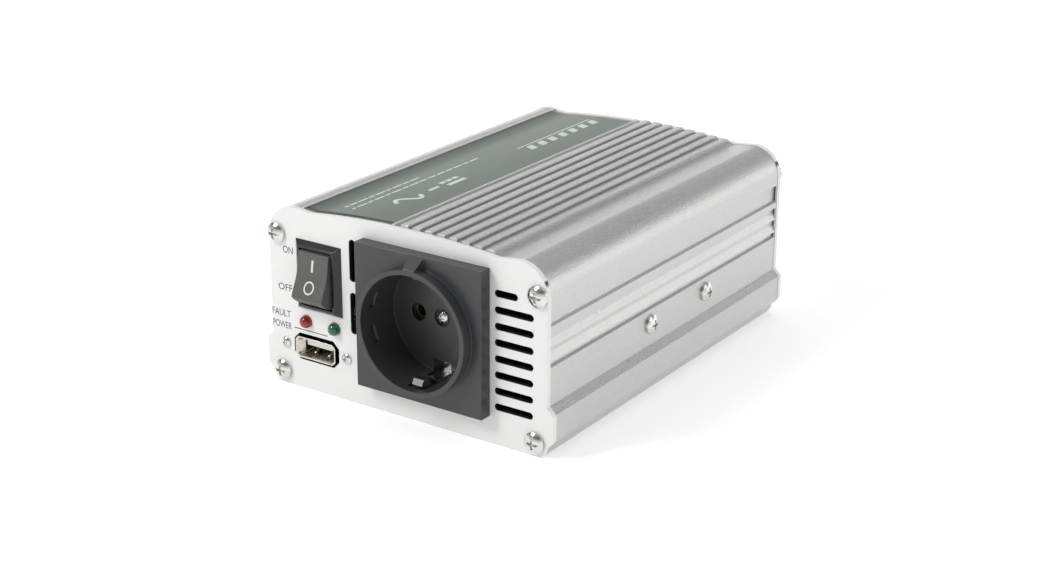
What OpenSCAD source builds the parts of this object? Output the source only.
// Power inverter: a ribbed aluminium case with a mains socket, a rocker
// switch, a USB outlet and two lamps on the front panel, and a fan and two
// screw-down input terminals on the rear panel.
// The frame is +Z up and -Y out of the front panel, with the origin on the
// underside, midway between the panels and midway between the sides.

/* [Case] */
// Length over both end panels
case_len = 155.5; // [150:0.5:200]
// Width of the case above its foot
body_w = 111.8; // [111:0.1:136]
// How far the foot stands out past the side, each side
foot_out = 2.4; // [2:0.1:4]
// Height of the end panels at the middle of the crown
crown_h = 65.3; // [64:0.1:80]
// Radius of the crown
crown_r = 347; // [300:1:600]
// Radius of the two upper corners
shoulder_r = 10.6; // [9:0.1:12]
// Drop from the crown to the top of the shoulders
shoulder_drop = 1.2; // [0.8:0.1:2]
// Thickness of the end panels
panel_t = 2; // [1.5:0.1:3]
// Thickness of the case wall
wall_t = 2.2; // [1.8:0.1:2.6]
// How far the end panels stand proud of the extrusion
panel_proud = 0.2; // [0.1:0.05:0.4]

/* [Cooling ribs] */
// Number of ribs on top
rib_count = 8; // [4:1:8]
// Distance between two ribs
rib_pitch = 4.78; // [4.5:0.01:5]
// Width of one rib
rib_w = 3; // [2:0.1:3.2]
// Height of a rib above the end panel's edge
rib_rise = 0.8; // [0.5:0.1:1.2]
// Depth of the grooves below the end panel's edge
groove_drop = 0.2; // [0.2:0.1:0.8]
// Centre of the first rib, beside the label
rib_first_x = -0.2; // [-1:0.1:0.5]
// Depth of the steps along the sides
step_depth = 1; // [0.5:0.1:1.2]

/* [Label] */
// Width of the label
label_w = 36.8; // [20:0.1:38]
// Thickness of the label
label_t = 0.4; // [0.3:0.1:0.5]
// Bare strip at each end of the label
label_gap = 2.5; // [1:0.5:20]

/* [Mains socket] */
// Centre of the socket, across
socket_x = 9.4; // [9:0.1:12]
// Centre of the socket, up
socket_z = 34.5; // [33:0.1:36]
// Side of the square faceplate
plate_w = 50; // [46:0.5:50]
// Thickness of the faceplate
plate_t = 4.7; // [3:0.1:6]
// How far the round collar stands out of the faceplate
collar_rise = 4.35; // [2:0.05:6]
// Radius of the recess that takes the plug
recess_r = 19.6; // [19.5:0.05:20]
// Wall of the recess
cup_wall = 1.7; // [1.4:0.1:2]
// Depth of the recess
recess_depth = 17.6; // [17:0.1:18]
// Distance between the two pin contacts
pin_pitch = 19; // [19:0.1:19.1]
// Bore radius of a pin contact
contact_bore_r = 2.42; // [2.4:0.01:2.5]
// Width of an earth clip
clip_w = 4; // [3:0.1:5]

/* [Rocker switch] */
// Centre of the switch, across
switch_x = -34.5; // [-36:0.1:-33]
// Centre of the switch, up
switch_z = 41.55; // [41:0.05:44]
// Width of the bezel
bezel_w = 19.4; // [19:0.1:21]
// Height of the bezel
bezel_h = 24.7; // [24:0.1:26]
// How far the bezel stands out of the panel
bezel_t = 2; // [1:0.1:3]
// Radius of the rocker about its pivot
rocker_r = 9.6; // [9:0.1:9.6]
// Width of the rocker
rocker_w = 12.8; // [10:0.1:12.8]
// Tilt of the rocker to each side of level
rocker_tilt = 17; // [10:0.5:18]
// Radius of the rocker's pivot stubs
pivot_r = 1.6; // [1.2:0.1:2]

/* [USB outlet] */
// Centre of the outlet, across
usb_x = -36.75; // [-38:0.05:-36]
// Centre of the outlet, up
usb_z = 15.2; // [15:0.1:16]
// Width of the plug opening
usb_w = 12.5; // [12.4:0.1:12.6]
// Height of the plug opening
usb_h = 5.12; // [5:0.01:5.2]
// Width of the flared mouth
usb_mouth_w = 16.1; // [14:0.1:16.5]
// Height of the flared mouth
usb_mouth_h = 6.5; // [6:0.1:6.8]
// Distance between the two fixing screws
usb_screw_pitch = 26.3; // [26:0.1:27]

/* [Lamps] */
// Distance between the two lamps
led_pitch = 12.2; // [11:0.1:14]
// Height of the lamps
led_z = 24.8; // [24:0.1:25]
// Radius of a lamp
led_r = 2.2; // [1.5:0.1:2.5]

/* [Fan] */
// Side of the square fan
fan_w = 40; // [36:1:44]
// Thickness of the fan
fan_t = 10.6; // [10:0.1:15]
// Distance between the fan's screws
fan_screw_pitch = 32; // [32:0.5:34]
// Number of fan blades
blade_count = 7; // [5:1:9]
// Centre of the fan, across
fan_x = 24; // [22:0.5:28]
// Centre of the fan, up
fan_z = 35; // [34:0.5:36]

/* [Input terminals] */
// Distance between the two terminals
post_pitch = 23; // [20:0.5:26]
// Radius of a terminal stud
stud_r = 3; // [2.5:0.1:3.5]
// Radius of a terminal knob
knob_r = 8; // [7:0.1:9]
// Length of a terminal knob
knob_len = 14; // [13:0.5:16]
// Thickness of a terminal washer
washer_t = 1.2; // [0.8:0.1:2]

/* [Fasteners] */
// Head radius of the panel screws
screw_head_r = 3.6; // [3:0.1:4]
// Head height of the panel screws
screw_head_h = 2.4; // [1.8:0.1:3]
// Shank radius of the panel screws
screw_r = 1.45; // [1.2:0.05:1.6]

/* [Circuit board] */
// Thickness of the boards
board_t = 1.6; // [1:0.1:2]
// Room between the front panel's face and the main board
board_front_gap = 24; // [22:0.5:25]
// Room between the rear panel's face and the main board
board_rear_gap = 22; // [20:0.5:24]
// Underside of the main board
board_z = 9.4; // [9.4:0.1:10]

/* [Hidden] */

$fn = 48;
eps = 0.01;
run_gap = 0.05;      // radial clearance of a shaft in its bore
part_gap = 0.35;     // clearance between pieces that move past each other
hole_gap = 0.3;      // clearance of a piece in its panel cut-out

// ---- places along the length
y_front = -case_len / 2;
y_rear = case_len / 2;
y_in = y_front + panel_t;
y_in_rear = y_rear - panel_t;

// ---- case outline
half_w = body_w / 2;
foot_half = half_w + foot_out;
shoulder_x = half_w - shoulder_r;
shoulder_z = crown_h - shoulder_drop - shoulder_r;
valley_in = 18.4;    // from the side to the valley beside the shoulder
valley_x = half_w - valley_in;
foot_face_z = 15.2;  // top of the foot's upright face
foot_top_z = 17.6;   // where the foot's slope meets the side
// corner of the foot: distance in from its face, and height
foot_corner = [[4.3, 0], [3.3, 1.6], [2.9, 3.4], [1.2, 4.9], [0, 6.6]];
// steps along the side: foot of the slope, head of the slope, top of the step
side_steps = [[30.3, 31, 32.4], [32.4, 35.1, 37.3], [37.3, 39.6, 41.8]];
band_low = 44;       // the wide step under the shoulder
band_slope = 0.7;
band_under = 3.1;    // from the shoulder's axis down to the band's top
arc_n = 14;          // straight pieces in a shoulder
crown_n = 16;        // straight pieces in the crown
rib_round = 0.4;     // radius of a rib's edges
rib_arc_n = 4;
label_right_x = -5.1;
label_left_x = label_right_x - label_w;
ridge_w = 0.9;       // raised edge between the label and the ribs
ridge_far_w = 1.2;   // raised edge on the label's far side
ridge_bevel = 0.2;
label_n = 8;

function crown_z(x) = crown_h - crown_r + sqrt(crown_r * crown_r - x * x);
function flip(points) = [for (i = [len(points) - 1:-1:0]) [-points[i][0], points[i][1]]];
function shoulder_arc(inset) = [
    for (i = [0:arc_n]) let (a = 90 * i / arc_n)
        [shoulder_x + (shoulder_r - inset) * cos(a), shoulder_z + (shoulder_r - inset) * sin(a)]
];
function foot_points(inset) = concat(
    [for (p = foot_corner) [foot_half - inset - p[0], p[1]]],
    [[foot_half - inset, foot_face_z], [half_w - inset, foot_top_z]]
);
function crown_points(inset) = [
    for (i = [0:crown_n]) let (x = valley_x * (1 - 2 * i / crown_n)) [x, crown_z(x) - inset]
];
function panel_outline() = let (side = concat(foot_points(0), shoulder_arc(0)))
    concat(side, crown_points(0), flip(side));

function step_points(wall_x) = concat(
    [for (s = side_steps) each [[wall_x, s[0]], [wall_x - step_depth, s[1]], [wall_x - step_depth, s[2]]]],
    [
        [wall_x, side_steps[len(side_steps) - 1][2]],
        [wall_x, band_low],
        [wall_x - step_depth, band_low + band_slope],
        [wall_x - step_depth, shoulder_z - band_under - band_slope / 2],
        [wall_x, shoulder_z - band_under]
    ]
);
// top of the panels at x: the crown, then the rise from the valley to the shoulder
function roof_z(x) = abs(x) < valley_x ? crown_z(x) : crown_z(valley_x)
    + (shoulder_z + shoulder_r - crown_z(valley_x)) * (abs(x) - valley_x) / (shoulder_x - valley_x);
function groove_z(x) = roof_z(x) - panel_proud - groove_drop;
function rib_top_z(x) = roof_z(x) + rib_rise;
function rib_x(i) = rib_first_x + rib_pitch * i;
function rib_corner(x, z, start) = [
    for (i = [0:rib_arc_n]) let (a = start + 90 * i / rib_arc_n) [x + rib_round * cos(a), z + rib_round * sin(a)]
];
function rib_points(x) = let (half = rib_w / 2 - rib_round, z = rib_top_z(x) - rib_round) concat(
    [[x + rib_w / 2, groove_z(x)]],
    rib_corner(x + half, z, 0),
    rib_corner(x - half, z, 90),
    [[x - rib_w / 2, groove_z(x)]]
);
function label_floor() = [
    for (i = [0:label_n]) let (x = label_right_x - label_w * i / label_n) [x, groove_z(x)]
];
function ridge_z(x) = roof_z(x) + rib_rise / 2;
function shell_top() = concat(
    [[valley_x, crown_z(valley_x) - panel_proud], [valley_x, groove_z(valley_x)]],
    [for (i = [rib_count - 1:-1:0]) each rib_points(rib_x(i))],
    [
        [label_right_x + ridge_w + ridge_bevel, groove_z(label_right_x)],
        [label_right_x + ridge_w, ridge_z(label_right_x)],
        [label_right_x, ridge_z(label_right_x)]
    ],
    label_floor(),
    [
        [label_left_x, ridge_z(label_left_x)],
        [label_left_x - ridge_far_w, ridge_z(label_left_x)],
        [label_left_x - ridge_far_w - ridge_bevel, roof_z(label_left_x - ridge_far_w - ridge_bevel) - panel_proud]
    ]
);
function shell_side() = concat(
    foot_points(panel_proud), step_points(half_w - panel_proud), shoulder_arc(panel_proud)
);
function shell_outline() = concat(shell_side(), shell_top(), flip(shell_side()));

// ---- case cavity
cavity_half = half_w - panel_proud - wall_t - 0.2;
cavity_foot = foot_half - panel_proud - wall_t;
cavity_arc_r = cavity_half - shoulder_x;
roof_t = groove_drop + wall_t;
cavity_corner = 3.9;  // slant at the bottom of the cavity
foot_wall = 1;        // how much lower the cavity's slope is than the outside
function cavity_side() = concat(
    [
        [cavity_foot - cavity_corner, wall_t],
        [cavity_foot, foot_corner[4][1]],
        [cavity_foot, foot_face_z - foot_wall],
        [cavity_half, foot_face_z - foot_wall + cavity_foot - cavity_half]
    ],
    [
        for (i = [0:arc_n]) let (a = 90 * i / arc_n)
            [shoulder_x + cavity_arc_r * cos(a), shoulder_z + cavity_arc_r * sin(a)]
    ]
);
function cavity_outline() = concat(cavity_side(), crown_points(panel_proud + roof_t), flip(cavity_side()));

// ---- screws and bosses at the four corners
boss_r = 2.9;
screw_top = [half_w - 3.5, shoulder_z + 0.5];
screw_low = [half_w - 4.3, 4.9];
corners = [for (s = [-1, 1]) each [[s * screw_top[0], screw_top[1]], [s * screw_low[0], screw_low[1]]]];
screw_len = 12;
screw_hole_r = screw_r + 0.45;
head_edge = 0.38;    // upright part of a head, as a share of its height
cross_floor = 0.45;  // floor of the cross, as a share of the head's height
cross_reach = 0.52;  // reach and half width of the cross, as shares of the
cross_half = 0.12;   // head's radius

// ---- rails that hold the main board
rail_in = 3;
rail_low_t = 2;
rail_high_t = 1.2;
board_half = cavity_foot - 0.5;
board_top = board_z + board_t;
rail_gap = 0.1;

// ---- transistors clamped to the sides
side_screw_y = [-14.4, 23.2];
side_screw_z = 25.1;
side_head_r = 3.4;
side_head_h = 2.1;
side_screw_len = 9;
pad_t = 0.3;
tab_t = 1.3;
pack_t = 4.5;
pack_w = 10;
tab_top = 2.8;       // from the screw up to the tab's end
pack_h = 15.5;
tab_len = 6.2;
nut_t = 2.2;
nut_r = 3;

// ---- front panel cut-outs
slot_w = 2.4;
vent_pitch = 5.48;
vent_rows = 8;
vent_top_z = crown_h - 13.6;
vent_left_x = 36.1;
vent_right_x = half_w - 5.2;
vent_short_x = half_w - 11.1;
air_slot_x = -20.3;
air_slot_w = 2.65;
air_slots = [[43.1, 57.7], [24.7, 39.35]];

// ---- socket
y_plate = y_front - plate_t;
y_collar = y_plate - collar_rise;
y_floor = y_collar + recess_depth;
cup_floor_t = 3;
y_cup_back = y_floor + cup_floor_t;
cup_r = recess_r + cup_wall;
lug_front_w = 4.2;   // width of the lug where it meets the collar's edge
lug_back_w = 6;      // its width at the top of the faceplate
lug_over = 0.3;      // how far it stands over the collar
pin_hole_r = 2.9;
base_len = 12.4;
y_base_back = y_cup_back + base_len;
base_r = cup_r - 0.5;
strap_w = 7;
strap_t = 0.8;
clip_t = 0.7;
clip_room = 1.4;     // width left free beside a clip
clip_front = 3.2;    // solid rim in front of a clip's window
window_r = recess_r + 0.9;
window_in = 4.2;     // how far the window cuts into the floor
clip_bow = 2.8;      // how far a clip bows into the recess
clip_leg_r = window_r - clip_t / 2 - 0.1;
strap_half = window_r + 0.1;
guide_z = 5.9;       // pockets in the recess's wall: height from the axis,
guide_h = 5.15;      // height, start behind the collar's edge, length, depth
guide_start = 4.2;
guide_len = 2.8;
guide_depth = 0.6;
contact_r = 2.9;
contact_len = 10;
socket_screw_head_r = 2.4;
socket_screw_head_h = 1.7;
socket_screw_len = 9.5;
socket_screw_pocket_r = 3;
socket_screw_pocket = 1;
base_thread = 8;     // depth of the screw's hole in the socket base

// ---- rocker switch
switch_body_w = 16.6;
switch_body_h = 21.6;
switch_depth = 14;
switch_well = 9.5;   // depth of the rocker's room behind the panel
bezel_lean_w = 2.1;  // how far the bezel's sides lean in
bezel_lean_h = 1.5;  // the same for its top and bottom
pivot_y = y_front + 0.5;
rocker_corner = 54;  // angle from the front axis to a corner of the rocker
rocker_back = 118;   // angle to its hind edge
rocker_dish = 0.8;
rocker_n = 8;        // straight pieces in a rounded end
dish_n = 12;         // straight pieces in the hollow face
well_half_w = rocker_w / 2 + part_gap;
well_half_h = rocker_r + part_gap;
stub_len = 1.3;
stub_gap = 0.1;
blade_w = 6.3;
blade_t = 0.8;
blade_len = 8;
blade_z = 5.5;
blade_start = 0.5;   // from the well's floor to a blade's front end

// ---- USB outlet
usb_wall = 0.5;
usb_corner = 1.2;
usb_flare = 2.4;     // length of the flared mouth
usb_lip = 0.7;       // how far the mouth stands out of the panel
usb_len = 15;
tongue_w = 11.1;
tongue_t = 1.84;
tongue_up = 1.1;
tongue_set_back = 2.6;
usb_contact_w = 1;
usb_contact_t = 0.15;
usb_screw_head_r = 1.85;
usb_screw_head_h = 1.2;
usb_screw_r = 0.9;
usb_screw_len = 8;
standoff_r = 2.3;
usb_board_w = 31;
usb_board_low = 10;
usb_board_high = 28;
usb_hole_w = usb_mouth_w + 3.2;
usb_hole_h = usb_mouth_h + 3;
usb_contact_pitch = 2.3;
usb_contact_inset = 0.8;
usb_throat_corner = 0.3;
y_usb_board = y_front + usb_len - usb_lip;
lead_r = 0.3;
led_flange = 1;
led_dome = 2.7;      // how far a lamp stands out of the panel
led_brim = 0.4;
led_lead_half = 1.27;

// ---- main board pieces
board_y0 = y_front + board_front_gap;
board_y1 = y_rear - board_rear_gap;
transformer_at = [-4, 2];
core_size = [42, 16, 36];
core_leg = 6;
core_x = core_size[0] / 2;
core_y = core_size[1] / 2;
core_h = core_size[2];
core_window_x = core_x - core_leg;
bobbin_t = 1.2;
bobbin_gap = 0.2;
bobbin_rim = 9;      // how far the bobbin's rims reach past the core
winding_rim = 8;
winding_gap = 0.5;
choke_at = [-36, -12];
choke_r = 12;
choke_h = 9;
wire_t = 1.4;
turns = 14;
input_cap_x = [-45, -30, -15];
input_cap_y = board_y1 - 10;
input_cap = [6.3, 20];           // radius, height
bus_cap_at = [33, -20];
bus_cap = [9, 32];
buzzer_at = [30, board_y0 + 13];
buzzer_size = [6, 9];
film_at = [-28, board_y0 + 8];
film_size = [18, 8, 14];
chip_x = 16;
chip_y = [24, 38];
chip_size = [20, 7, 3.6];
fuse_x = [-42, -32];
fuse_y = [14, 33];
fuse_low = 6;        // from the board up to a fuse's body
fuse_size = [2.5, 10];           // half width, height
fuse_leg_y = [15.5, 26.5];
fuse_leg = [0.4, 5];             // half thickness, length
fuse_clip = [1.6, 7, 5.5];       // half width, length, height
fuse_clip_out = 1;               // how far a clip reaches past the leg
leg_pitch = 2.54;   // between two legs of a transistor
pin_size = [0.6, 0.8];

// ---- fan
y_fan = y_in_rear - fan_t;
fan_bore_r = fan_w / 2 - 1;
hub_r = 8.6;
hub_wall = 1.2;
shaft_r = 1;
bearing_r = 2.3;
mount_t = 2;
blade_tip_gap = 0.7;
fan_screw_r = 1.5;
fan_head_r = 2.8;
fan_head_h = 1.8;
fan_screw_more = 3.4;    // length of a fan screw past the frame
fan_bearing_back = 3.2;  // from the bearing tube's end to the frame's face
fan_rotor_back = 0.6;    // from the rotor's face to the frame's face
fan_cup_t = 1.6;
fan_stator_gap = 0.6;
arm_w = 3;
fan_blade = [10.8, 1];   // width and thickness of a blade
fan_blade_angle = 38;
grille_rows = 7;
grille_pitch = 5.2;
grille_in = 0.6;

// ---- input terminals
post_z = 35;
post_mid_x = -31;
post_x = [post_mid_x - post_pitch / 2, post_mid_x + post_pitch / 2];
bush_flange_r = 7.5;
bush_flange_t = 2.5;
bush_r = 5;
bush_in = 3;         // how far a bush reaches inside the panel
y_bush = y_rear + bush_flange_t;
y_washer = y_bush + washer_t;
washer_r = 6.6;
washer_hole_r = stud_r + 0.08;
knob_cap = 1.5;
knob_flutes = 12;
stud_in = 15;
stud_short = 1.4;    // room left between a stud's tip and its knob's cap
flute_r = 1.1;
flute_out = 0.5;     // from the knob's rim out to a flute's axis
flute_start = 2;
lug_t = 1;
lug_half_w = 2.2;
lug_drop = 14;       // from the stud's axis down to a lug's end
post_nut_t = 3.5;
post_nut_r = 6.2;
y_stud_in = y_in_rear - stud_in;
y_knob_end = y_washer + knob_len;
y_lug = y_in_rear - bush_in - post_nut_t;
wire_r = 1.7;        // input leads
thin_wire_r = 1;     // mains and switch leads
lead_z = [9, 16];    // an input lead's start and bend, below the stud's axis
lead_end_y = board_y1 - 2.2;
mains_lead_out = 4;
switch_lead_out = 6;
switch_lead_x = 3;

// ================= helpers =================
module along_y(y0, y1) {
    translate([0, y1, 0]) rotate([90, 0, 0]) linear_extrude(y1 - y0) children();
}
module along_x(x0, x1) {
    translate([x0, 0, 0]) rotate([90, 0, 90]) linear_extrude(x1 - x0) children();
}
module rod_y(x, z, y0, y1, r) {
    translate([x, y1, z]) rotate([90, 0, 0]) cylinder(h = y1 - y0, r = r);
}
module box(lo, hi) {
    translate(lo) cube(hi - lo);
}
module slot_y(x0, x1, z, y0, y1, w) {
    box([x0 + w / 2, y0, z - w / 2], [x1 - w / 2, y1, z + w / 2]);
    for (x = [x0 + w / 2, x1 - w / 2]) rod_y(x, z, y0, y1, w / 2);
}
module cross_recess(r, depth) {
    for (a = [0, 90]) rotate([0, 0, a])
        translate([-r * cross_reach, -r * cross_half, 0]) cube([2 * r * cross_reach, 2 * r * cross_half, depth]);
}
// a pan head screw: the head stands on +Z and the shank goes to -Z
module pan_screw(head_r, head_h, shank_r, shank_len) {
    edge = head_h * head_edge;
    dome = head_h - edge;
    ball = (head_r * head_r + dome * dome) / (2 * dome);
    difference() {
        union() {
            intersection() {
                translate([0, 0, head_h - ball]) sphere(ball, $fn = 96);
                cylinder(h = head_h, r = head_r);
            }
            translate([0, 0, -shank_len]) cylinder(h = shank_len + eps, r = shank_r);
        }
        translate([0, 0, head_h * cross_floor]) cross_recess(head_r, head_h);
    }
}
module face_front() { rotate([90, 0, 0]) children(); }
module face_rear() { rotate([-90, 0, 0]) children(); }
module face_side(s) { rotate([0, s * 90, 0]) children(); }
// a wire through the points of a route, with round elbows
module wire(route, r) {
    for (i = [0:len(route) - 2]) {
        d = route[i + 1] - route[i];
        l = norm(d);
        translate(route[i]) rotate([0, acos(d[2] / l), atan2(d[1], d[0])]) cylinder(h = l, r = r, $fn = 24);
    }
    for (i = [1:len(route) - 2]) translate(route[i]) sphere(r, $fn = 24);
}
module hex_nut(r, t, hole_r) {
    difference() {
        cylinder(h = t, r = r, $fn = 6);
        translate([0, 0, -eps]) cylinder(h = t + 2 * eps, r = hole_r);
    }
}

// ================= case =================
module housing_shell() color("silver") {
    difference() {
        union() {
            difference() {
                along_y(y_in, y_in_rear) polygon(shell_outline());
                along_y(y_in - 1, y_in_rear + 1) polygon(cavity_outline());
            }
            for (c = corners) rod_y(c[0], c[1], y_in, y_in_rear, boss_r);
            for (s = [-1, 1]) {
                x0 = s > 0 ? cavity_foot - rail_in : -cavity_foot - 0.5;
                x1 = s > 0 ? cavity_foot + 0.5 : -cavity_foot + rail_in;
                box([x0, y_in, board_z - rail_low_t], [x1, y_in_rear, board_z]);
                box([x0, y_in, board_top + rail_gap], [x1, y_in_rear, board_top + rail_gap + rail_high_t]);
            }
        }
        for (c = corners) rod_y(c[0], c[1], y_in - 1, y_in_rear + 1, screw_r);
        for (y = side_screw_y) translate([-foot_half, y, side_screw_z])
            rotate([0, 90, 0]) cylinder(h = 2 * foot_half, r = screw_r);
    }
}
module end_panel(y0, y1) {
    difference() {
        along_y(y0, y1) polygon(panel_outline());
        for (c = corners) rod_y(c[0], c[1], y0 - 1, y1 + 1, screw_hole_r);
    }
}
module front_panel() color("whitesmoke") difference() {
    end_panel(y_front, y_in);
    rod_y(socket_x, socket_z, y_front - 1, y_in + 1, cup_r + hole_gap);
    for (i = [0:vent_rows - 1])
        slot_y(vent_left_x, i == 0 ? vent_short_x : vent_right_x, vent_top_z - vent_pitch * i,
               y_front - 1, y_in + 1, slot_w);
    for (s = air_slots) {
        box([air_slot_x - air_slot_w / 2, y_front - 1, s[0] + air_slot_w / 2],
            [air_slot_x + air_slot_w / 2, y_in + 1, s[1] - air_slot_w / 2]);
        for (z = [s[0] + air_slot_w / 2, s[1] - air_slot_w / 2])
            rod_y(air_slot_x, z, y_front - 1, y_in + 1, air_slot_w / 2);
    }
    box([switch_x - switch_body_w / 2 - hole_gap, y_front - 1, switch_z - switch_body_h / 2 - hole_gap],
        [switch_x + switch_body_w / 2 + hole_gap, y_in + 1, switch_z + switch_body_h / 2 + hole_gap]);
    along_y(y_front - 1, y_in + 1) translate([usb_x, usb_z])
        polygon(clipped(usb_hole_w, usb_hole_h, 2 * usb_corner));
    for (s = [-1, 1]) {
        rod_y(usb_x + s * usb_screw_pitch / 2, usb_z, y_front - 1, y_in + 1, usb_screw_r);
        rod_y(switch_x + s * led_pitch / 2, led_z, y_front - 1, y_in + 1, led_r);
    }
}
module rear_panel() color("whitesmoke") difference() {
    end_panel(y_in_rear, y_rear);
    for (i = [0:grille_rows - 1]) {
        dz = (i - (grille_rows - 1) / 2) * grille_pitch;
        half = sqrt(pow(fan_bore_r - grille_in, 2) - dz * dz);
        slot_y(fan_x - half, fan_x + half, fan_z + dz, y_in_rear - 1, y_rear + 1, slot_w);
    }
    for (sx = [-1, 1]) for (sz = [-1, 1])
        rod_y(fan_x + sx * fan_screw_pitch / 2, fan_z + sz * fan_screw_pitch / 2,
              y_in_rear - 1, y_rear + 1, fan_screw_r);
    for (x = post_x) rod_y(x, post_z, y_in_rear - 1, y_rear + 1, bush_r);
}
module top_label() color("darkslategray")
    along_y(y_in + label_gap, y_in_rear - label_gap)
        polygon(concat(label_floor(), [for (i = [label_n:-1:0]) label_floor()[i] + [0, label_t]]));

module front_screws() color("gainsboro")
    for (c = corners) translate([c[0], y_front, c[1]]) face_front()
        pan_screw(screw_head_r, screw_head_h, screw_r, screw_len);
module rear_screws() color("gainsboro")
    for (c = corners) translate([c[0], y_rear, c[1]]) face_rear()
        pan_screw(screw_head_r, screw_head_h, screw_r, screw_len);
module side_screws() color("gainsboro")
    for (s = [-1, 1]) for (y = side_screw_y)
        translate([s * (half_w - panel_proud), y, side_screw_z]) face_side(s)
            pan_screw(side_head_r, side_head_h, screw_r, side_screw_len);

// ================= clamped transistors =================
module side_nuts() color("gainsboro")
    for (s = [-1, 1]) for (y = side_screw_y)
        translate([s * (cavity_half - pad_t - tab_t), y, side_screw_z]) face_side(-s)
            hex_nut(nut_r, nut_t, screw_r);
module transistor_pads() color("lightgray")
    for (s = [-1, 1]) for (y = side_screw_y) difference() {
        translate([s > 0 ? cavity_half - pad_t : -cavity_half, y - pack_w / 2, side_screw_z + tab_top - pack_h])
            cube([pad_t, pack_w, pack_h + 1]);
        translate([-foot_half, y, side_screw_z]) rotate([0, 90, 0]) cylinder(h = 2 * foot_half, r = screw_r);
    }
module power_transistors() color("dimgray")
    for (s = [-1, 1]) for (y = side_screw_y) {
        top = side_screw_z + tab_top;
        mirror([s < 0 ? 1 : 0, 0, 0]) difference() {
            union() {
                translate([cavity_half - pad_t - tab_t, y - pack_w / 2, top - pack_h]) cube([tab_t, pack_w, pack_h]);
                translate([cavity_half - pad_t - pack_t, y - pack_w / 2, top - pack_h])
                    cube([pack_t - tab_t + eps, pack_w, pack_h - tab_len]);
                for (k = [-1, 0, 1])
                    translate([cavity_half - pad_t - pack_t / 2 - pin_size[0] / 2, y + k * leg_pitch - pin_size[1] / 2, board_top])
                        cube([pin_size[0], pin_size[1], top - pack_h - board_top + eps]);
            }
            translate([0, y, side_screw_z]) rotate([0, 90, 0]) cylinder(h = foot_half, r = screw_r);
        }
    }

// ================= mains socket =================
module ring_cut(y0, y1, r0, r1) {
    difference() {
        rod_y(socket_x, socket_z, y0, y1, r1);
        rod_y(socket_x, socket_z, y0 - 1, y1 + 1, r0);
    }
}
module clip_window() {
    half = clip_w / 2 + clip_room;
    intersection() {
        ring_cut(y_collar + clip_front, y_cup_back + 1, recess_r - window_in, window_r);
        box([socket_x - half, y_collar, socket_z - cup_r], [socket_x + half, y_cup_back + 1, socket_z + cup_r]);
    }
}
// the wedge that ties the collar to the top of the faceplate
module socket_lug() {
    low = socket_z + cup_r - cup_wall / 2;
    top = socket_z + plate_w / 2;
    intersection() {
        along_x(socket_x - lug_back_w, socket_x + lug_back_w) polygon([
            [y_plate + eps, low], [y_plate + eps, top], [y_plate, top],
            [y_collar, socket_z + cup_r + lug_over], [y_collar, low]
        ]);
        along_y(y_collar, y_plate + eps) polygon([
            [socket_x - lug_front_w / 2, low], [socket_x + lug_front_w / 2, low],
            [socket_x + lug_back_w / 2, top], [socket_x - lug_back_w / 2, top]
        ]);
    }
}
module guide_pockets() {
    intersection() {
        ring_cut(y_collar + guide_start, y_collar + guide_start + guide_len, recess_r - 1, recess_r + guide_depth);
        for (t = [-1, 1])
            box([socket_x - cup_r, y_collar, socket_z + t * guide_z - guide_h / 2],
                [socket_x + cup_r, y_floor, socket_z + t * guide_z + guide_h / 2]);
    }
}
module socket_faceplate() color("darkslategray") difference() {
    union() {
        box([socket_x - plate_w / 2, y_plate, socket_z - plate_w / 2],
            [socket_x + plate_w / 2, y_front, socket_z + plate_w / 2]);
        rod_y(socket_x, socket_z, y_collar, y_cup_back, cup_r);
        socket_lug();
    }
    rod_y(socket_x, socket_z, y_collar - 1, y_floor, recess_r);
    guide_pockets();
    clip_window();
    for (s = [-1, 1])
        rod_y(socket_x + s * pin_pitch / 2, socket_z, y_floor - 1, y_cup_back + 1, pin_hole_r);
    rod_y(socket_x, socket_z, y_floor - 1, y_cup_back + 1, screw_r);
    rod_y(socket_x, socket_z, y_floor - 1, y_floor + socket_screw_pocket, socket_screw_pocket_r);
}
module socket_base() color("dimgray") difference() {
    rod_y(socket_x, socket_z, y_cup_back, y_base_back, base_r);
    box([socket_x - strap_w / 2, y_cup_back - 1, socket_z - cup_r],
        [socket_x + strap_w / 2, y_cup_back + strap_t, socket_z + cup_r]);
    for (s = [-1, 1]) {
        rod_y(socket_x + s * pin_pitch / 2, socket_z, y_cup_back - 1, y_cup_back + contact_len, contact_r);
        rod_y(socket_x + s * pin_pitch / 2, socket_z, y_cup_back, y_base_back + 1, thin_wire_r);
    }
    rod_y(socket_x, socket_z, y_cup_back - 1, y_cup_back + base_thread, screw_r);
}
// a strip of even thickness along a path of two-number points
function strip_normal(p, i) = let (
    a = p[max(i - 1, 0)], b = p[min(i + 1, len(p) - 1)], d = (b - a) / norm(b - a)
) [-d[1], d[0]];
function strip(p, t) = concat(
    [for (i = [0:len(p) - 1]) p[i] + strip_normal(p, i) * t / 2],
    [for (i = [len(p) - 1:-1:0]) p[i] - strip_normal(p, i) * t / 2]
);
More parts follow.
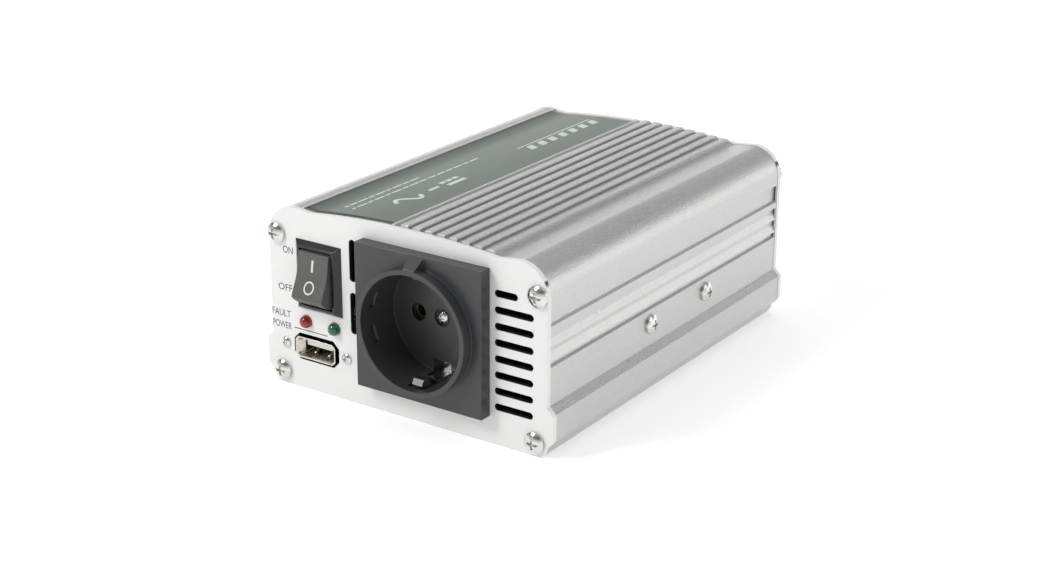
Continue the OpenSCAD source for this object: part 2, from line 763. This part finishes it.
// side view of an earth clip: along the length, and out from the recess's axis
function clip_path() = let (y = y_collar + clip_front, r = recess_r - clip_bow) [
    [y_cup_back + strap_t, clip_leg_r],
    [y + 9, clip_leg_r],
    [y + 5.6, r + 0.4],
    [y + 4.6, r],
    [y + 2.8, r],
    [y + 1.9, r + 0.4],
    [y + 0.9, r + 2.2]
];
module earth_clip() {
    translate([socket_x - clip_w / 2, 0, socket_z]) rotate([90, 0, 90])
        linear_extrude(clip_w) polygon(strip(clip_path(), clip_t));
}
module socket_earth_clips() color("gainsboro") difference() {
    union() {
        box([socket_x - strap_w / 2, y_cup_back, socket_z - strap_half],
            [socket_x + strap_w / 2, y_cup_back + strap_t, socket_z + strap_half]);
        earth_clip();
        translate([0, 0, 2 * socket_z]) mirror([0, 0, 1]) earth_clip();
    }
    rod_y(socket_x, socket_z, y_cup_back - 1, y_base_back, screw_r);
}
module socket_contacts() color("gold")
    for (s = [-1, 1]) difference() {
        x = socket_x + s * pin_pitch / 2;
        rod_y(x, socket_z, y_cup_back, y_cup_back + contact_len, contact_r);
        rod_y(x, socket_z, y_cup_back - 1, y_cup_back + contact_len + 1, contact_bore_r);
    }
module socket_screw() color("gainsboro")
    translate([socket_x, y_floor + socket_screw_pocket, socket_z]) face_front()
        pan_screw(socket_screw_head_r, socket_screw_head_h, screw_r, socket_screw_len);

// ================= rocker switch =================
module bezel() {
    y = y_front - bezel_t;
    half = [bezel_w / 2, bezel_h / 2];
    rim = half - [bezel_lean_w, bezel_lean_h];
    intersection() {
        translate([switch_x, 0, switch_z - half[1]]) linear_extrude(bezel_h)
            polygon([[-half[0], y_front], [-rim[0], y], [rim[0], y], [half[0], y_front]]);
        along_x(switch_x - half[0], switch_x + half[0]) translate([0, switch_z])
            polygon([[y_front, -half[1]], [y_front, half[1]], [y, rim[1]], [y, -rim[1]]]);
    }
}
module switch_housing() color("black") difference() {
    union() {
        bezel();
        box([switch_x - switch_body_w / 2, y_front - eps, switch_z - switch_body_h / 2],
            [switch_x + switch_body_w / 2, y_front + switch_depth, switch_z + switch_body_h / 2]);
    }
    box([switch_x - well_half_w, y_front - bezel_t - 1, switch_z - well_half_h],
        [switch_x + well_half_w, y_front + switch_well, switch_z + well_half_h]);
    translate([switch_x - rocker_w / 2 - stub_len - stub_gap, pivot_y, switch_z]) rotate([0, 90, 0])
        cylinder(h = rocker_w + 2 * (stub_len + stub_gap), r = pivot_r + run_gap);
    for (s = [-1, 1]) box([switch_x - blade_w / 2, y_front + switch_well - 1, switch_z + s * blade_z - blade_t / 2],
                          [switch_x + blade_w / 2, y_front + switch_depth + 1, switch_z + s * blade_z + blade_t / 2]);
}
// side view of the rocker when level: y towards the front is first, z second
function rocker_outline() = concat(
    [for (i = [0:rocker_n]) let (a = rocker_corner + (rocker_back - rocker_corner) * i / rocker_n)
        [rocker_r * sin(a), -rocker_r * cos(a)]],
    [for (i = [rocker_n:-1:0]) let (a = rocker_corner + (rocker_back - rocker_corner) * i / rocker_n)
        [-rocker_r * sin(a), -rocker_r * cos(a)]],
    [for (i = [1:dish_n - 1]) let (t = i / dish_n, z = rocker_r * sin(rocker_corner) * (2 * t - 1))
        [z, -rocker_r * cos(rocker_corner) + rocker_dish * pow(sin(180 * t), 2)]]
);
module rocker() color("black")
    translate([switch_x, pivot_y, switch_z]) rotate([-rocker_tilt, 0, 0]) {
        along_x(-rocker_w / 2, rocker_w / 2)
            polygon([for (p = rocker_outline()) [p[1], p[0]]]);
        translate([-rocker_w / 2 - stub_len, 0, 0]) rotate([0, 90, 0])
            cylinder(h = rocker_w + 2 * stub_len, r = pivot_r);
    }
module switch_terminals() color("gold")
    for (s = [-1, 1])
        box([switch_x - blade_w / 2, y_front + switch_well + blade_start, switch_z + s * blade_z - blade_t / 2],
            [switch_x + blade_w / 2, y_front + switch_depth + blade_len, switch_z + s * blade_z + blade_t / 2]);

// ================= USB outlet =================
function clipped(w, h, c) = [
    [w / 2, -h / 2 + c], [w / 2, h / 2 - c], [w / 2 - c, h / 2], [-w / 2 + c, h / 2],
    [-w / 2, h / 2 - c], [-w / 2, -h / 2 + c], [-w / 2 + c, -h / 2], [w / 2 - c, -h / 2]
];
module usb_prism(w, h, c, y0, y1) {
    along_y(y0, y1) translate([usb_x, usb_z]) polygon(clipped(w, h, c));
}
module usb_funnel(grow, y0, y1) {
    hull() {
        usb_prism(usb_mouth_w + grow, usb_mouth_h + grow, usb_corner, y0, y0 + eps);
        usb_prism(usb_w + grow, usb_h + grow, usb_throat_corner, y1 - eps, y1);
    }
}
module usb_shell() color("silver") {
    y0 = y_front - usb_lip;
    difference() {
        union() {
            usb_funnel(2 * usb_wall, y0, y0 + usb_flare);
            usb_prism(usb_w + 2 * usb_wall, usb_h + 2 * usb_wall, usb_throat_corner, y0 + usb_flare - eps, y_usb_board);
        }
        usb_funnel(0, y0 - eps, y0 + usb_flare);
        usb_prism(usb_w, usb_h, usb_throat_corner, y0 + usb_flare - 2 * eps, y_usb_board + 1);
    }
}
module usb_tongue() color("white")
    box([usb_x - tongue_w / 2, y_front - usb_lip + tongue_set_back, usb_z + tongue_up - tongue_t / 2],
        [usb_x + tongue_w / 2, y_usb_board, usb_z + tongue_up + tongue_t / 2]);
module usb_contacts() color("gold")
    for (k = [-1.5, -0.5, 0.5, 1.5])
        box([usb_x + k * usb_contact_pitch - usb_contact_w / 2, y_front - usb_lip + tongue_set_back + usb_contact_inset,
             usb_z + tongue_up - tongue_t / 2 - usb_contact_t],
            [usb_x + k * usb_contact_pitch + usb_contact_w / 2, y_usb_board, usb_z + tongue_up - tongue_t / 2]);
module usb_board() color("green")
    box([usb_x - usb_board_w / 2, y_usb_board, usb_board_low],
        [usb_x + usb_board_w / 2, y_usb_board + board_t, usb_board_high]);
module usb_standoffs() color("gold")
    for (s = [-1, 1]) difference() {
        rod_y(usb_x + s * usb_screw_pitch / 2, usb_z, y_in, y_usb_board, standoff_r);
        rod_y(usb_x + s * usb_screw_pitch / 2, usb_z, y_in - 1, y_usb_board + 1, usb_screw_r);
    }
module usb_screws() color("gainsboro")
    for (s = [-1, 1]) translate([usb_x + s * usb_screw_pitch / 2, y_front, usb_z]) face_front()
        pan_screw(usb_screw_head_r, usb_screw_head_h, usb_screw_r, usb_screw_len);

// ================= lamps =================
module lamp(x) {
    translate([x, y_front - led_dome + led_r, led_z]) sphere(led_r, $fn = 64);
    rod_y(x, led_z, y_front - led_dome + led_r, y_in + led_flange, led_r);
    rod_y(x, led_z, y_in, y_in + led_flange, led_r + led_brim);
}
module led_fault() color("red") lamp(switch_x - led_pitch / 2);
module led_power() color("green") lamp(switch_x + led_pitch / 2);
module led_leads() color("silver")
    for (s = [-1, 1]) for (k = [-1, 1])
        rod_y(switch_x + s * led_pitch / 2 + k * led_lead_half, led_z, y_in + led_flange, y_usb_board, lead_r);

// ================= main board =================
module main_board() color("darkgreen")
    box([-board_half, board_y0, board_z], [board_half, board_y1, board_top]);

module at_transformer() { translate([transformer_at[0], transformer_at[1], board_top]) children(); }
module transformer_core() color("dimgray") at_transformer() difference() {
    translate([-core_x, -core_y, 0]) cube(core_size);
    for (s = [-1, 1])
        translate([s > 0 ? core_leg : -core_window_x, -core_y - 1, core_leg])
            cube([core_window_x - core_leg, core_size[1] + 2, core_h - 2 * core_leg]);
}
module sleeve_box(x0, y0, x1, y1, h) {
    difference() {
        translate([-x1, -y1, 0]) cube([2 * x1, 2 * y1, h]);
        translate([-x0, -y0, -1]) cube([2 * x0, 2 * y0, h + 2]);
    }
}
module transformer_bobbin() color("white") at_transformer() {
    translate([0, 0, core_leg])
        sleeve_box(core_leg, core_y, core_leg + bobbin_t, core_y + bobbin_t, core_h - 2 * core_leg);
    for (z = [core_leg, core_h - core_leg - bobbin_t]) translate([0, 0, z])
        sleeve_box(core_leg, core_y, core_window_x - bobbin_gap, core_y + bobbin_rim, bobbin_t);
}
module transformer_winding() color("orange") at_transformer()
    translate([0, 0, core_leg + bobbin_t])
        sleeve_box(core_leg + bobbin_t, core_y + bobbin_t, core_window_x - winding_gap, core_y + winding_rim,
                   core_h - 2 * core_leg - 2 * bobbin_t);

module can(at, size) { translate([at[0], at[1], board_top]) cylinder(h = size[1], r = size[0]); }
module on_board(x, y, size) { translate([x, y, board_top]) cube(size); }
module input_capacitors() color("midnightblue") for (x = input_cap_x) can([x, input_cap_y], input_cap);
module bus_capacitor() color("black") can(bus_cap_at, bus_cap);
module film_capacitor() color("firebrick") on_board(film_at[0], film_at[1], film_size);
module buzzer() color("black") can(buzzer_at, buzzer_size);
module control_chips() color("black") for (y = chip_y) on_board(chip_x, y, chip_size);

module at_choke() { translate([choke_at[0], choke_at[1], board_top + choke_r]) rotate([0, 90, 0]) children(); }
module choke_core() color("goldenrod") at_choke() difference() {
    translate([0, 0, -choke_h / 2]) cylinder(h = choke_h, r = choke_r - wire_t);
    translate([0, 0, -choke_h]) cylinder(h = 2 * choke_h, r = choke_r / 2);
}
module choke_winding() color("chocolate") at_choke() difference() {
    for (i = [0:turns - 1]) rotate([0, 0, 360 * i / turns])
        translate([choke_r / 2 - wire_t, -wire_t / 2, -choke_h / 2 - wire_t])
            cube([choke_r / 2 + wire_t, wire_t, choke_h + 2 * wire_t]);
    difference() {
        translate([0, 0, -choke_h / 2]) cylinder(h = choke_h, r = choke_r - wire_t);
        translate([0, 0, -choke_h]) cylinder(h = 2 * choke_h, r = choke_r / 2);
    }
}
module fuse_leg_slot(x, y0, y1, top) {
    box([x - fuse_leg[0], y0, board_top + fuse_clip_out], [x + fuse_leg[0], y1, board_top + top]);
}
module fuses() color("orange") for (x = fuse_x) {
    box([x - fuse_size[0], fuse_y[0], board_top + fuse_low],
        [x + fuse_size[0], fuse_y[1], board_top + fuse_low + fuse_size[1]]);
    for (y = fuse_leg_y) fuse_leg_slot(x, y, y + fuse_leg[1], fuse_low + eps);
}
module fuse_clips() color("gold") for (x = fuse_x) for (y = fuse_leg_y) difference() {
    box([x - fuse_clip[0], y - fuse_clip_out, board_top],
        [x + fuse_clip[0], y - fuse_clip_out + fuse_clip[1], board_top + fuse_clip[2]]);
    fuse_leg_slot(x, y - 2 * fuse_clip_out, y + fuse_clip[1] + fuse_clip_out, fuse_low);
}

// ================= fan =================
module at_fan() { translate([fan_x, y_fan, fan_z]) rotate([-90, 0, 0]) children(); }
module fan_holes(r) {
    for (sx = [-1, 1]) for (sy = [-1, 1])
        translate([sx * fan_screw_pitch / 2, sy * fan_screw_pitch / 2, -1]) cylinder(h = fan_t + 2, r = r);
}
module fan_frame() color("black") at_fan() difference() {
    union() {
        difference() {
            translate([-fan_w / 2, -fan_w / 2, 0]) cube([fan_w, fan_w, fan_t]);
            translate([0, 0, -1]) cylinder(h = fan_t + 2, r = fan_bore_r);
        }
        cylinder(h = mount_t, r = hub_r);
        cylinder(h = fan_t - fan_bearing_back, r = bearing_r);
        for (a = [30:120:270]) rotate([0, 0, a]) translate([hub_r - 1, -arm_w / 2, 0])
            cube([fan_bore_r - hub_r + 1.6, arm_w, mount_t]);
    }
    translate([0, 0, -1]) cylinder(h = fan_t, r = shaft_r + run_gap);
    fan_holes(fan_screw_r);
}
module fan_stator() color("chocolate") at_fan() difference() {
    translate([0, 0, mount_t]) cylinder(h = fan_t - fan_bearing_back - mount_t - fan_stator_gap, r = hub_r - hub_wall - 0.5);
    translate([0, 0, mount_t - 1]) cylinder(h = fan_t, r = bearing_r);
}
module fan_rotor() color("black") at_fan() {
    cup_low = mount_t + 0.5;
    cup_top = fan_t - fan_rotor_back;
    difference() {
        union() {
            translate([0, 0, cup_low]) cylinder(h = cup_top - cup_low, r = hub_r);
            intersection() {
                union() for (i = [0:blade_count - 1]) rotate([0, 0, 360 * i / blade_count])
                    translate([hub_r - 1, 0, (cup_low + cup_top) / 2]) rotate([fan_blade_angle, 0, 0])
                        translate([0, -fan_blade[0] / 2, -fan_blade[1] / 2])
                            cube([fan_bore_r - hub_r + 1, fan_blade[0], fan_blade[1]]);
                translate([0, 0, cup_low + 0.1]) cylinder(h = cup_top - cup_low - 0.2, r = fan_bore_r - blade_tip_gap);
            }
        }
        translate([0, 0, cup_low - 1]) cylinder(h = cup_top - fan_cup_t - cup_low + 1, r = hub_r - hub_wall);
    }
    translate([0, 0, 1]) cylinder(h = cup_top - fan_cup_t / 2 - 1, r = shaft_r);
}
module fan_screws() color("gainsboro")
    for (sx = [-1, 1]) for (sz = [-1, 1])
        translate([fan_x + sx * fan_screw_pitch / 2, y_rear, fan_z + sz * fan_screw_pitch / 2]) face_rear()
            pan_screw(fan_head_r, fan_head_h, fan_screw_r, panel_t + fan_t + fan_screw_more);
module fan_nuts() color("gainsboro")
    for (sx = [-1, 1]) for (sz = [-1, 1])
        translate([fan_x + sx * fan_screw_pitch / 2, y_fan, fan_z + sz * fan_screw_pitch / 2]) face_front()
            hex_nut(nut_r, nut_t, fan_screw_r);

// ================= input terminals =================
module terminal_studs() color("gold")
    for (x = post_x) rod_y(x, post_z, y_stud_in, y_knob_end - knob_cap - stud_short, stud_r);
module bush(x) difference() {
    union() {
        rod_y(x, post_z, y_in_rear - bush_in, y_bush, bush_r);
        rod_y(x, post_z, y_rear, y_bush, bush_flange_r);
    }
    rod_y(x, post_z, y_in_rear - bush_in - 1, y_bush + 1, stud_r);
}
module terminal_bush_red() color("red") bush(post_x[0]);
module terminal_bush_black() color("black") bush(post_x[1]);
module terminal_nuts() color("gold")
    for (x = post_x) for (y = [y_in_rear - bush_in, y_in_rear - bush_in - post_nut_t - lug_t])
        translate([x, y, post_z]) face_front() hex_nut(post_nut_r, post_nut_t, stud_r);
module terminal_lugs() color("silver")
    for (x = post_x) difference() {
        union() {
            rod_y(x, post_z, y_lug - lug_t, y_lug, post_nut_r);
            box([x - lug_half_w, y_lug - lug_t, post_z - lug_drop], [x + lug_half_w, y_lug, post_z]);
        }
        rod_y(x, post_z, y_lug - lug_t - 1, y_lug + 1, stud_r);
    }
module washer(x) difference() {
    rod_y(x, post_z, y_bush, y_washer, washer_r);
    rod_y(x, post_z, y_bush - 1, y_washer + 1, washer_hole_r);
}
module terminal_washer_red() color("silver") washer(post_x[0]);
module terminal_washer_black() color("silver") washer(post_x[1]);
module knob(x) difference() {
    rod_y(x, post_z, y_washer, y_knob_end, knob_r);
    rod_y(x, post_z, y_washer - 1, y_knob_end - knob_cap, stud_r + run_gap);
    for (i = [0:knob_flutes - 1]) let (a = 360 * i / knob_flutes)
        rod_y(x + (knob_r + flute_out) * cos(a), post_z + (knob_r + flute_out) * sin(a),
              y_washer + flute_start, y_knob_end + 1, flute_r);
}
module terminal_knob_red() color("red") knob(post_x[0]);
module terminal_knob_black() color("black") knob(post_x[1]);

// ================= wires =================
module input_lead(x) {
    y = y_lug - lug_t - wire_r;
    wire([[x, y, post_z - lead_z[0]], [x, y, post_z - lead_z[1]],
          [x, lead_end_y, post_z - lead_z[1]], [x, lead_end_y, board_top]], wire_r);
}
module input_lead_red() color("red") input_lead(post_x[0]);
module input_lead_black() color("black") input_lead(post_x[1]);
module mains_leads() color("brown")
    for (s = [-1, 1]) {
        x = socket_x + s * pin_pitch / 2;
        wire([[x, y_cup_back + contact_len, socket_z], [x, y_base_back + mains_lead_out, socket_z],
              [x, y_base_back + mains_lead_out, board_top]], thin_wire_r);
    }
module switch_leads() color("black")
    for (s = [-1, 1]) {
        z = switch_z + s * blade_z;
        y = y_front + switch_depth + blade_len;
        x = switch_x + s * switch_lead_x;
        wire([[x, y, z], [x, y + switch_lead_out, z], [x, y + switch_lead_out, board_top]], thin_wire_r);
    }

housing_shell();
front_panel();
rear_panel();
top_label();
front_screws();
rear_screws();
side_screws();
side_nuts();
socket_faceplate();
socket_base();
socket_earth_clips();
socket_contacts();
socket_screw();
switch_housing();
rocker();
switch_terminals();
usb_shell();
usb_tongue();
usb_contacts();
usb_board();
usb_standoffs();
usb_screws();
led_fault();
led_power();
led_leads();
main_board();
transformer_core();
transformer_bobbin();
transformer_winding();
input_capacitors();
bus_capacitor();
film_capacitor();
power_transistors();
transistor_pads();
choke_core();
choke_winding();
fuses();
fuse_clips();
control_chips();
buzzer();
fan_frame();
fan_rotor();
fan_stator();
fan_screws();
fan_nuts();
terminal_studs();
terminal_bush_red();
terminal_bush_black();
terminal_nuts();
terminal_lugs();
terminal_washer_red();
terminal_washer_black();
terminal_knob_red();
terminal_knob_black();
input_lead_red();
input_lead_black();
mains_leads();
switch_leads();
